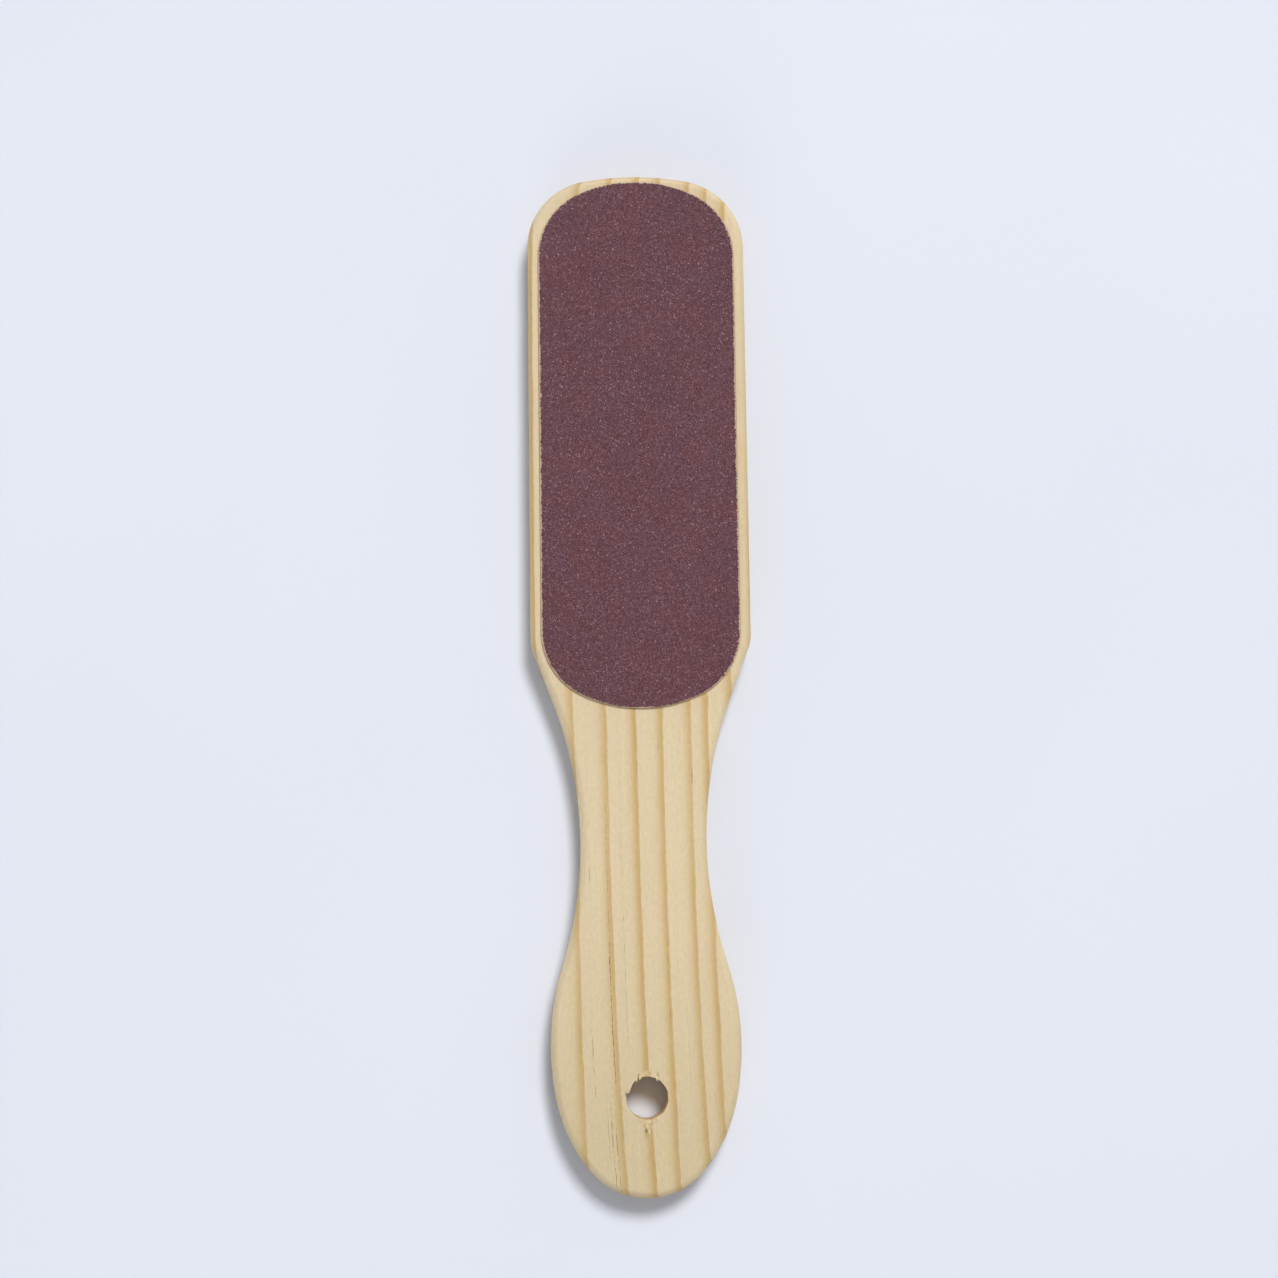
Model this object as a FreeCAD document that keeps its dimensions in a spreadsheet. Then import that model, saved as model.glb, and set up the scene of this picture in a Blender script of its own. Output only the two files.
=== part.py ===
import FreeCAD, Part
import Sketcher
import math
import os

# Wooden foot file: a flat paddle with a broad head, a waisted neck and a
# bulged handle with a hanging hole. A coated abrasive sheet is bonded to each
# side of the head: adhesive film, carrier cloth, then the abrasive coat.
#
# Frame: the file lies flat. X across, Y along the file with the head at +Y,
# Z up through the thickness. The origin is at the middle of the length and
# width, on the outer face of the back abrasive coat.

V = FreeCAD.Vector
doc = FreeCAD.newDocument("foot_file")

# ---------------------------------------------------------------- dimensions
dims = doc.addObject("Spreadsheet::Sheet", "dims")
CELLS = [
    # outline of the paddle
    ("overall_length", 250.0),
    ("head_width", 53.8),
    ("crown_radius", 71.7),      # shallow arc across the end of the head
    ("corner_radius", 17.4),     # head corners
    ("shoulder_radius", 10.0),   # where the straight side turns in
    ("shoulder_y", 9.5),         # lower end of the straight side
    ("neck_radius", 96.5),       # concave sweep of the neck
    ("neck_width", 30.5),
    ("neck_y", -40.7),           # narrowest place
    ("bulge_radius", 64.7),      # convex flank of the handle
    ("bulge_width", 45.6),
    ("flank_radius", 38.3),      # between the bulge and the tip
    ("tip_radius", 17.8),
    # section of the paddle
    ("wood_thickness", 8.5),
    ("rim_radius", 1.4),         # sanded roundover of both rims
    # hanging hole
    ("hole_diameter", 10.0),
    ("hole_y", -101.6),
    # abrasive sheets
    ("sheet_width", 48.6),
    ("sheet_top_y", 123.1),
    ("sheet_bottom_y", -8.6),
    ("sheet_crown_radius", 33.8),
    ("sheet_corner_radius", 17.4),
    ("glue_thickness", 0.12),
    ("cloth_thickness", 0.45),
    ("grit_thickness", 0.35),
]
for row, (alias, value) in enumerate(CELLS, start=1):
    dims.set("A%d" % row, alias)
    dims.set("B%d" % row, repr(value))
    dims.setAlias("B%d" % row, alias)
doc.recompute()
D = {alias: float(dims.get(alias)) for alias, _ in CELLS}


# ------------------------------------------------------------------- helpers
def origin_plane(body, role):
    for feature in body.Origin.OriginFeatures:
        if feature.Role == role:
            return feature
    raise RuntimeError("no origin plane " + role)


def new_body(label):
    body = doc.addObject("PartDesign::Body", label)
    body.Label = label
    return body


def new_sketch(body, name):
    sketch = body.newObject("Sketcher::SketchObject", name)
    sketch.AttachmentSupport = [(origin_plane(body, "XY_Plane"), "")]
    sketch.MapMode = "FlatFace"
    return sketch


def arc(sketch, centre, radius, start, end):
    circle = Part.Circle(V(centre[0], centre[1], 0), V(0, 0, 1), radius)
    return sketch.addGeometry(Part.ArcOfCircle(circle, start, end), False)


def line(sketch, a, b):
    return sketch.addGeometry(Part.LineSegment(V(a[0], a[1], 0), V(b[0], b[1], 0)), False)


def bind(sketch, constraint, expression):
    index = sketch.addConstraint(constraint)
    sketch.setExpression("Constraints[%d]" % index, expression)
    return index


def polar(centre, radius, angle):
    return (centre[0] + radius * math.cos(angle), centre[1] + radius * math.sin(angle))


def direction(a, b):
    return math.atan2(b[1] - a[1], b[0] - a[0])


# ------------------------------------------------------------- wooden paddle
def half_outline(sketch):
    """Right half of the paddle as one tangent chain of arcs and lines."""
    top = D["overall_length"] / 2
    tip = -top
    half = D["head_width"] / 2
    rc, r1, r2 = D["crown_radius"], D["corner_radius"], D["shoulder_radius"]
    rn, rb, rf, rt = D["neck_radius"], D["bulge_radius"], D["flank_radius"], D["tip_radius"]

    # where the centres lie, so that the solver starts at the answer
    crown = (0.0, top - rc)
    corner = (half - r1, crown[1] + math.sqrt((rc - r1) ** 2 - (half - r1) ** 2))
    shoulder = (half - r2, D["shoulder_y"])
    neck = (D["neck_width"] / 2 + rn, D["neck_y"])
    bulge_x = D["bulge_width"] / 2 - rb
    bulge = (bulge_x, neck[1] - math.sqrt((rn + rb) ** 2 - (neck[0] - bulge_x) ** 2))
    end = (0.0, tip + rt)
    # flank arc touches the bulge arc and the tip arc from inside
    dx, dy = end[0] - bulge[0], end[1] - bulge[1]
    dist = math.hypot(dx, dy)
    ra, rbb = rb - rf, rf - rt
    along = (ra * ra - rbb * rbb + dist * dist) / (2 * dist)
    side = math.sqrt(ra * ra - along * along)
    flank_a = (bulge[0] + along * dx / dist - side * dy / dist,
               bulge[1] + along * dy / dist + side * dx / dist)
    flank_b = (bulge[0] + along * dx / dist + side * dy / dist,
               bulge[1] + along * dy / dist - side * dx / dist)
    flank = flank_a if flank_a[1] > flank_b[1] else flank_b
    # straight run between the shoulder and the neck, their inner tangent
    gap = math.hypot(neck[0] - shoulder[0], neck[1] - shoulder[1])
    normal = direction(shoulder, neck) + math.acos((r2 + rn) / gap)

    a_crown = direction(crown, corner)
    a_neck_end = direction(neck, bulge) % (2 * math.pi)
    a_bulge_start = direction(bulge, neck)
    a_bulge_end = direction(bulge, flank)
    a_flank_end = direction(flank, end)

    g_crown = arc(sketch, crown, rc, a_crown, math.pi / 2)
    g_corner = arc(sketch, corner, r1, 0.0, a_crown)
    g_side = line(sketch, (half, corner[1]), (half, shoulder[1]))
    g_shoulder = arc(sketch, shoulder, r2, normal, 0.0)
    g_slope = line(sketch, polar(shoulder, r2, normal), polar(neck, rn, normal + math.pi))
    g_neck = arc(sketch, neck, rn, normal + math.pi, a_neck_end)
    g_bulge = arc(sketch, bulge, rb, a_bulge_end, a_bulge_start)
    g_flank = arc(sketch, flank, rf, a_flank_end, a_bulge_end)
    g_tip = arc(sketch, end, rt, -math.pi / 2, a_flank_end)
    g_axis = line(sketch, (0, tip), (0, top))

    C = Sketcher.Constraint
    START, END, CENTRE = 1, 2, 3
    X_AXIS, Y_AXIS = -1, -2
    add = sketch.addConstraint
    # the chain is tangent at every joint and closed along the middle line
    add(C("Tangent", g_crown, START, g_corner, END))
    add(C("Tangent", g_corner, START, g_side, START))
    add(C("Tangent", g_side, END, g_shoulder, END))
    add(C("Tangent", g_shoulder, START, g_slope, START))
    add(C("Tangent", g_slope, END, g_neck, START))
    add(C("Tangent", g_neck, END, g_bulge, END))
    add(C("Tangent", g_bulge, START, g_flank, END))
    add(C("Tangent", g_flank, START, g_tip, END))
    add(C("Coincident", g_tip, START, g_axis, START))
    add(C("Coincident", g_axis, END, g_crown, END))
    add(C("PointOnObject", g_axis, START, Y_AXIS))
    add(C("PointOnObject", g_axis, END, Y_AXIS))
    add(C("PointOnObject", g_crown, CENTRE, Y_AXIS))
    add(C("PointOnObject", g_tip, CENTRE, Y_AXIS))
    add(C("Vertical", g_side))
    # sizes
    bind(sketch, C("Radius", g_crown, rc), "dims.crown_radius")
    bind(sketch, C("Radius", g_corner, r1), "dims.corner_radius")
    bind(sketch, C("Radius", g_shoulder, r2), "dims.shoulder_radius")
    bind(sketch, C("Radius", g_neck, rn), "dims.neck_radius")
    bind(sketch, C("Radius", g_bulge, rb), "dims.bulge_radius")
    bind(sketch, C("Radius", g_flank, rf), "dims.flank_radius")
    bind(sketch, C("Radius", g_tip, rt), "dims.tip_radius")
    bind(sketch, C("DistanceX", X_AXIS, START, g_side, END, half), "dims.head_width / 2")
    bind(sketch, C("DistanceY", X_AXIS, START, g_side, END, D["shoulder_y"]), "dims.shoulder_y")
    bind(sketch, C("DistanceY", X_AXIS, START, g_axis, END, top), "dims.overall_length / 2")
    bind(sketch, C("DistanceY", g_axis, START, X_AXIS, START, top), "dims.overall_length / 2")
    bind(sketch, C("DistanceX", X_AXIS, START, g_neck, CENTRE, neck[0]),
         "dims.neck_width / 2 + dims.neck_radius")
    bind(sketch, C("DistanceY", g_neck, CENTRE, X_AXIS, START, -neck[1]), "-dims.neck_y")
    bind(sketch, C("DistanceX", g_bulge, CENTRE, X_AXIS, START, -bulge[0]),
         "dims.bulge_radius - dims.bulge_width / 2")


paddle = new_body("wooden_paddle")
outline = new_sketch(paddle, "paddle_half_outline")
half_outline(outline)
doc.recompute()

half_board = paddle.newObject("PartDesign::Pad", "half_board")
half_board.Profile = outline
half_board.setExpression("Length", "dims.wood_thickness")
doc.recompute()

board = paddle.newObject("PartDesign::Mirrored", "board")
board.Originals = [half_board]
board.MirrorPlane = (origin_plane(paddle, "YZ_Plane"), [""])
board.Refine = True
paddle.Tip = board
doc.recompute()
board_volume = paddle.Shape.Volume

# hanging hole, drilled straight through with sharp rims
hole_sketch = new_sketch(paddle, "hanging_hole_circle")
g_hole = hole_sketch.addGeometry(
    Part.Circle(V(0, D["hole_y"], 0), V(0, 0, 1), D["hole_diameter"] / 2), False)
hole_sketch.addConstraint(Sketcher.Constraint("PointOnObject", g_hole, 3, -2))
bind(hole_sketch, Sketcher.Constraint("Diameter", g_hole, D["hole_diameter"]), "dims.hole_diameter")
bind(hole_sketch, Sketcher.Constraint("DistanceY", g_hole, 3, -1, 1, -D["hole_y"]), "-dims.hole_y")
doc.recompute()
hanging_hole = paddle.newObject("PartDesign::Pocket", "hanging_hole")
hanging_hole.Profile = hole_sketch
hanging_hole.Type = "ThroughAll"
hanging_hole.Reversed = True
paddle.Tip = hanging_hole
doc.recompute()
drilled = board_volume - paddle.Shape.Volume
expected = math.pi * D["hole_diameter"] ** 2 / 4 * D["wood_thickness"]
if abs(drilled - expected) > 0.01 * expected:
    raise RuntimeError("hanging hole removed %.2f of %.2f mm3" % (drilled, expected))

# sanded roundover of the outer rim, on the front and on the back
rim_edges = []
for index, edge in enumerate(hanging_hole.Shape.Edges, start=1):
    box = edge.BoundBox
    flat = box.ZLength < 1e-6
    on_rim = flat and (abs(box.ZMin) < 1e-6 or abs(box.ZMin - D["wood_thickness"]) < 1e-6)
    is_hole = (hasattr(edge.Curve, "Radius")
               and abs(edge.Curve.Radius - D["hole_diameter"] / 2) < 1e-6)
    if on_rim and not is_hole:
        rim_edges.append("Edge%d" % index)
rims = paddle.newObject("PartDesign::Fillet", "rims")
rims.Base = (hanging_hole, rim_edges)
rims.setExpression("Radius", "dims.rim_radius")
paddle.Tip = rims
doc.recompute()
paddle.setExpression(".Placement.Base.z",
                     "dims.grit_thickness + dims.cloth_thickness + dims.glue_thickness")


# ----------------------------------------------------------- abrasive sheets
def sheet_layer(label, thickness, level):
    """One layer of a die-cut sheet: straight sides and rounded ends."""
    body = new_body(label)
    sketch = new_sketch(body, label + "_outline")
    half = D["sheet_width"] / 2
    rc, r1 = D["sheet_crown_radius"], D["sheet_corner_radius"]
    rise = math.sqrt((rc - r1) ** 2 - (half - r1) ** 2)
    upper = (0.0, D["sheet_top_y"] - rc)
    lower = (0.0, D["sheet_bottom_y"] + rc)
    ur, ul = (half - r1, upper[1] + rise), (r1 - half, upper[1] + rise)
    lr, ll = (half - r1, lower[1] - rise), (r1 - half, lower[1] - rise)
    tilt = direction(upper, ur)

    g_top = arc(sketch, upper, rc, tilt, math.pi - tilt)
    g_ul = arc(sketch, ul, r1, math.pi - tilt, math.pi)
    g_left = line(sketch, (-half, ul[1]), (-half, ll[1]))
    g_ll = arc(sketch, ll, r1, math.pi, math.pi + tilt)
    g_bottom = arc(sketch, lower, rc, math.pi + tilt, 2 * math.pi - tilt)
    g_lr = arc(sketch, lr, r1, -tilt, 0.0)
    g_right = line(sketch, (half, lr[1]), (half, ur[1]))
    g_ur = arc(sketch, ur, r1, 0.0, tilt)

    C = Sketcher.Constraint
    START, END, CENTRE = 1, 2, 3
    X_AXIS, Y_AXIS = -1, -2
    add = sketch.addConstraint
    chain = [g_top, g_ul, g_left, g_ll, g_bottom, g_lr, g_right, g_ur]
    for a, b in zip(chain, chain[1:] + chain[:1]):
        add(C("Tangent", a, END, b, START))
    add(C("Vertical", g_left))
    add(C("Vertical", g_right))
    add(C("PointOnObject", g_top, CENTRE, Y_AXIS))
    add(C("PointOnObject", g_bottom, CENTRE, Y_AXIS))
    for other in (g_ul, g_ll, g_lr):
        add(C("Equal", g_ur, other))
    add(C("Equal", g_top, g_bottom))
    bind(sketch, C("Radius", g_ur, r1), "dims.sheet_corner_radius")
    bind(sketch, C("Radius", g_top, rc), "dims.sheet_crown_radius")
    bind(sketch, C("DistanceX", X_AXIS, START, g_right, START, half), "dims.sheet_width / 2")
    bind(sketch, C("DistanceX", g_left, START, X_AXIS, START, half), "dims.sheet_width / 2")
    bind(sketch, C("DistanceY", X_AXIS, START, g_top, CENTRE, upper[1]),
         "dims.sheet_top_y - dims.sheet_crown_radius")
    bind(sketch, C("DistanceY", X_AXIS, START, g_bottom, CENTRE, lower[1]),
         "dims.sheet_bottom_y + dims.sheet_crown_radius")
    doc.recompute()

    pad = body.newObject("PartDesign::Pad", label + "_layer")
    pad.Profile = sketch
    pad.setExpression("Length", thickness)
    body.Tip = pad
    body.setExpression(".Placement.Base.z", level)
    doc.recompute()
    return body


STACK = "dims.grit_thickness + dims.cloth_thickness + dims.glue_thickness"
back_grit = sheet_layer("back_grit_coat", "dims.grit_thickness", "0")
back_cloth = sheet_layer("back_backing_cloth", "dims.cloth_thickness", "dims.grit_thickness")
back_glue = sheet_layer("back_glue_film", "dims.glue_thickness",
                        "dims.grit_thickness + dims.cloth_thickness")
front_glue = sheet_layer("front_glue_film", "dims.glue_thickness",
                         STACK + " + dims.wood_thickness")
front_cloth = sheet_layer("front_backing_cloth", "dims.cloth_thickness",
                          STACK + " + dims.wood_thickness + dims.glue_thickness")
front_grit = sheet_layer("front_grit_coat", "dims.grit_thickness",
                         STACK + " + dims.wood_thickness + dims.glue_thickness"
                                 " + dims.cloth_thickness")
doc.recompute()

# ------------------------------------------------------------ test and write
SUBPARTS = [paddle, front_glue, front_cloth, front_grit, back_glue, back_cloth, back_grit]
for obj in doc.Objects:
    if "Invalid" in obj.State or "Error" in obj.State:
        raise RuntimeError("%s is %s" % (obj.Name, obj.State))
for obj in doc.Objects:
    if obj.TypeId == "Sketcher::SketchObject" and not obj.FullyConstrained:
        raise RuntimeError("%s is not fully constrained" % obj.Name)
for body in SUBPARTS:
    shape = body.Shape
    if shape.isNull() or not shape.isValid() or len(shape.Solids) != 1:
        raise RuntimeError("bad shape in " + body.Label)

os.makedirs("parts", exist_ok=True)
for body in SUBPARTS:
    shape = body.Shape
    box = shape.BoundBox
    print("%-20s faces %3d volume %10.2f  x %.2f..%.2f  y %.2f..%.2f  z %.3f..%.3f" % (
        body.Label, len(shape.Faces), shape.Volume,
        box.XMin, box.XMax, box.YMin, box.YMax, box.ZMin, box.ZMax))
    shape.exportStep("parts/%s.step" % body.Label)
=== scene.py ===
import math

import bpy
import numpy as np
from mathutils import Euler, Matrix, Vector
from mathutils.geometry import delaunay_2d_cdt
from mathutils.kdtree import KDTree


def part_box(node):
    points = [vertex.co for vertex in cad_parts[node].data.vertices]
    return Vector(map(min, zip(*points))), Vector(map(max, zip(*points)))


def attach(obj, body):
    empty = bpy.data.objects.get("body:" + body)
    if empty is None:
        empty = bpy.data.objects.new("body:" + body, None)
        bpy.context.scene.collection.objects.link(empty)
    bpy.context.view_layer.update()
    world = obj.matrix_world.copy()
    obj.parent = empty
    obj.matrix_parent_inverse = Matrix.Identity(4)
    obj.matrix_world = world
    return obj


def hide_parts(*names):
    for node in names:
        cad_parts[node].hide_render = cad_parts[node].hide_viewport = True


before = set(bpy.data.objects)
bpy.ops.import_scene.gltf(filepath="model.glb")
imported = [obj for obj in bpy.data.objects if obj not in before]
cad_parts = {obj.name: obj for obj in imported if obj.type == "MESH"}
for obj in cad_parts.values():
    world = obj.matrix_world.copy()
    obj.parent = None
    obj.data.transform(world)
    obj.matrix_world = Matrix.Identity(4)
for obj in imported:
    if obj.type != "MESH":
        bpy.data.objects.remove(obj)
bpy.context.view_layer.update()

MM = 0.001

# ------------------------------------------------------------------ sizes, mm
# the same outline as the solids: one tangent chain of arcs and lines
LENGTH, HEAD_W = 250.0, 53.8
CROWN_R, CORNER_R = 71.7, 17.4
SHOULDER_R, SHOULDER_Y = 10.0, 9.5
NECK_R, NECK_W, NECK_Y = 96.5, 30.5, -40.7
BULGE_R, BULGE_W = 64.7, 45.6
FLANK_R, TIP_R = 38.3, 17.8
RIM_R = 1.4
HOLE_R, HOLE_Y = 5.0, -101.6
SHEET_W, SHEET_TOP, SHEET_BOT = 48.6, 123.1, -8.6
SHEET_CROWN_R, SHEET_CORNER_R = 33.8, 17.4

Z_OF = {n: [v.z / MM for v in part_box(n)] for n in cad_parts}
WOOD_Z0, WOOD_Z1 = Z_OF["wooden_paddle"]


# ------------------------------------------------------------------- geometry
def arc(c, r, a0, a1, n=240):
    t = np.linspace(a0, a1, n)
    return np.c_[c[0] + r * np.cos(t), c[1] + r * np.sin(t)]


def direction(a, b):
    return math.atan2(b[1] - a[1], b[0] - a[0])


def paddle_half():
    """Right half of the paddle's outline, from the crown to the tip."""
    top, h = LENGTH / 2, HEAD_W / 2
    crown = (0.0, top - CROWN_R)
    corner = (h - CORNER_R, crown[1] + math.sqrt((CROWN_R - CORNER_R) ** 2 - (h - CORNER_R) ** 2))
    shoulder = (h - SHOULDER_R, SHOULDER_Y)
    neck = (NECK_W / 2 + NECK_R, NECK_Y)
    bx = BULGE_W / 2 - BULGE_R
    bulge = (bx, neck[1] - math.sqrt((NECK_R + BULGE_R) ** 2 - (neck[0] - bx) ** 2))
    end = (0.0, -top + TIP_R)
    dx, dy = end[0] - bulge[0], end[1] - bulge[1]
    d = math.hypot(dx, dy)
    ra, rb = BULGE_R - FLANK_R, FLANK_R - TIP_R
    al = (ra * ra - rb * rb + d * d) / (2 * d)
    si = math.sqrt(ra * ra - al * al)
    cand = [(bulge[0] + al * dx / d - s * si * dy / d, bulge[1] + al * dy / d + s * si * dx / d) for s in (1, -1)]
    flank = max(cand, key=lambda p: p[1])
    gap = math.hypot(neck[0] - shoulder[0], neck[1] - shoulder[1])
    n = direction(shoulder, neck) + math.acos((SHOULDER_R + NECK_R) / gap)
    ac = direction(crown, corner)
    neck_arc = arc(neck, NECK_R, n + math.pi, direction(neck, bulge) % (2 * math.pi), 600)
    shoulder_arc = arc(shoulder, SHOULDER_R, 0, n)
    chain = [
        arc(crown, CROWN_R, math.pi / 2, ac),
        arc(corner, CORNER_R, ac, 0),
        np.c_[np.full(800, h), np.linspace(corner[1], shoulder[1], 800)],
        shoulder_arc,
        np.linspace(shoulder_arc[-1], neck_arc[0], 120),
        neck_arc,
        arc(bulge, BULGE_R, direction(bulge, neck), direction(bulge, flank), 400),
        arc(flank, FLANK_R, direction(bulge, flank), direction(flank, end)),
        arc(end, TIP_R, direction(flank, end), -math.pi / 2),
    ]
    return np.vstack(chain)


def sheet_half():
    """Right half of the abrasive sheets' outline, from the top to the bottom."""
    h, rc, r1 = SHEET_W / 2, SHEET_CROWN_R, SHEET_CORNER_R
    rise = math.sqrt((rc - r1) ** 2 - (h - r1) ** 2)
    t = math.atan2(rise, h - r1)
    up, low = (0.0, SHEET_TOP - rc), (0.0, SHEET_BOT + rc)
    ur, lr = (h - r1, up[1] + rise), (h - r1, low[1] - rise)
    return np.vstack([
        arc(up, rc, math.pi / 2, t), arc(ur, r1, t, 0),
        np.c_[np.full(800, h), np.linspace(ur[1], lr[1], 800)],
        arc(lr, r1, 0, -t), arc(low, rc, -t, -math.pi / 2)])


def closed_loop(half, step):
    """Both halves as one counter-clockwise loop of even spacing, with outward normals and the arc length."""
    p = np.vstack([half, (half * [-1, 1])[::-1]])[::-1]
    keep = np.r_[True, np.linalg.norm(np.diff(p, axis=0), axis=1) > 1e-6]
    p = p[keep]
    if np.linalg.norm(p[0] - p[-1]) > 1e-6:
        p = np.vstack([p, p[:1]])
    s = np.r_[0, np.cumsum(np.linalg.norm(np.diff(p, axis=0), axis=1))]
    n = int(round(s[-1] / step))
    q = np.linspace(0, s[-1], n, endpoint=False)
    loop = np.c_[np.interp(q, s, p[:, 0]), np.interp(q, s, p[:, 1])]
    e = s[-1] / n * 0.5
    a = np.c_[np.interp((q - e) % s[-1], s, p[:, 0]), np.interp((q - e) % s[-1], s, p[:, 1])]
    b = np.c_[np.interp((q + e) % s[-1], s, p[:, 0]), np.interp((q + e) % s[-1], s, p[:, 1])]
    t = b - a
    t /= np.linalg.norm(t, axis=1)[:, None]
    return loop, np.c_[t[:, 1], -t[:, 0]], q


def half_width(half):
    """Half of the width at a given y."""
    o = np.argsort(half[:, 1])
    ys, xs = half[o, 1], half[o, 0]
    return lambda y: np.where((y < ys[0]) | (y > ys[-1]), -1.0, np.interp(y, ys, xs))


# ---------------------------------------------------------------------- noise
def lattice_value(ix, iy, iz, seed):
    n = (ix.astype(np.int64) * 374761393 + iy.astype(np.int64) * 668265263
         + iz.astype(np.int64) * 2147483629 + seed * 144665) & 0xFFFFFFFF
    n = ((n ^ (n >> 13)) * 1274126177) & 0xFFFFFFFF
    n = ((n ^ (n >> 15)) * 2246822519) & 0xFFFFFFFF
    return ((n ^ (n >> 16)) & 0xFFFF) / 65535.0


def smooth_noise(x, y, z, seed=0):
    """Value noise from -1 to 1."""
    x, y, z = np.broadcast_arrays(np.asarray(x, float), np.asarray(y, float), np.asarray(z, float))
    i, j, k = np.floor(x), np.floor(y), np.floor(z)
    u, v, w = x - i, y - j, z - k
    u, v, w = (q * q * q * (q * (q * 6 - 15) + 10) for q in (u, v, w))
    out = 0.0
    for a in (0, 1):
        for b in (0, 1):
            for c in (0, 1):
                f = (u if a else 1 - u) * (v if b else 1 - v) * (w if c else 1 - w)
                out = out + f * lattice_value(i + a, j + b, k + c, seed)
    return out * 2 - 1


def smoothstep(a, b, x):
    t = np.clip((x - a) / (b - a), 0, 1)
    return t * t * (3 - 2 * t)


# ------------------------------------------------------------------ wood grain
# Growth rings: uneven years, bowed along the file and slanted through its
# thickness. Each year runs from pale early wood to a darker late band that ends
# sharply. A line is where one year ends: x in mm as a polynomial of y / 125 mm.
LINE_Z = (0.0, 0.0, 1.470, -1.470, -25.630)
LINE_A = (4.273, 3.730, -0.835, -3.419, -16.915)
LINE_B = (2.347, 1.048, 1.315, -1.677, -8.821)
LINE_C = (2.353, 0.865, 0.946, -1.455, -1.602)
LINE_D = (-1.422, -1.376, 3.499, 0.539, 5.000)
LINE_E = (1.190, -0.294, 1.683, -0.558, 11.806)
LINE_F = (-0.269, -0.005, 3.086, -0.662, 15.862)
LINE_G = (-0.269, -0.005, 3.086, -2.012, 21.802)
LINES = ((LINE_Z, -16.9), (LINE_Z, -8.3), (LINE_Z, 0), (LINE_A, 0), (LINE_B, 0), (LINE_C, 0), (LINE_D, 0),
         (LINE_E, 0), (LINE_F, 0), (LINE_G, 0), (LINE_F, 11.7), (LINE_F, 17.2), (LINE_F, 22.8))
PITH_X, PITH_Z = 95.0, -18.0


def ring_of(x, y, z):
    """Ring number, growing to the right, and the width of that year in mm."""
    x, y, z = (np.asarray(q, float) for q in (x, y, z))
    xe = np.sqrt(np.maximum((x + PITH_X) ** 2 + (z - PITH_Z) ** 2 - (WOOD_Z1 - PITH_Z) ** 2, 0)) - PITH_X
    xe = xe - 0.07 * smooth_noise(x / 9, y / 7, z / 9, 13) - 0.05 * smooth_noise(x / 5, y / 2.6, z / 5, 14)
    at = [np.polyval(c, y / 125) + shift for c, shift in LINES]
    ring, width = np.zeros_like(xe), np.full_like(xe, 8.0)
    for k in range(len(at) - 1):
        span = at[k + 1] - at[k]
        ring = ring + np.clip((xe - at[k]) / span, 0, 1)
        width = np.where((xe >= at[k]) & (xe < at[k + 1]), span, width)
    return ring, width


def late_of(ring, width):
    """Share of late wood: full next to the line, fading over about two millimetres."""
    d = (1 - (ring - np.floor(ring))) * width
    return (1 - smoothstep(0.7, 2.3, d)) * smoothstep(0.0, 0.25, d)


def wood_relief(x, y, z):
    """How far the sanded surface stands out, mm: late wood stays a little proud and the fibres are fuzzy."""
    late = late_of(*ring_of(x, y, z))
    fibre = smooth_noise(x * 2.2, y * 0.35, z * 2.2, 3) * 0.5 + smooth_noise(x * 1.7, y * 1.1, z * 1.7, 5) * 0.5
    worn = smooth_noise(x * 0.12, y * 0.06, z * 0.12, 9)
    return 0.03 * late + 0.015 * fibre + 0.02 * worn


# ------------------------------------------------------------------- mesh tools
def make_mesh(name, verts, faces, node, smooth_angle=None):
    mesh = bpy.data.meshes.new(name)
    mesh.from_pydata((np.asarray(verts) * MM).tolist(), [], [tuple(map(int, f)) for f in faces])
    mesh.validate()
    mesh.update()
    if smooth_angle is not None:
        mesh.polygons.foreach_set("use_smooth", np.ones(len(mesh.polygons), bool))
        mesh.set_sharp_from_angle(angle=math.radians(smooth_angle))
    obj = bpy.data.objects.new(name, mesh)
    bpy.context.scene.collection.objects.link(obj)
    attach(obj, "root")
    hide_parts(node)
    return obj


def point_values(obj, name, values):
    a = obj.data.attributes.new(name, "FLOAT", "POINT")
    a.data.foreach_set("value", np.asarray(values, np.float32))


def face_values(obj, name, values):
    a = obj.data.attributes.new(name, "FLOAT", "FACE")
    a.data.foreach_set("value", np.asarray(values, np.float32))


def bake_map(obj, uv):
    layer = obj.data.uv_layers.new(name="OFBake")
    layer.data.foreach_set("uv", np.asarray(uv, np.float32).ravel())


def quads_between(a, b, n):
    """Quads between two rings of n points that start at index a and b."""
    i = np.arange(n)
    j = (i + 1) % n
    return np.c_[a + i, a + j, b + j, b + i]


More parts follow.
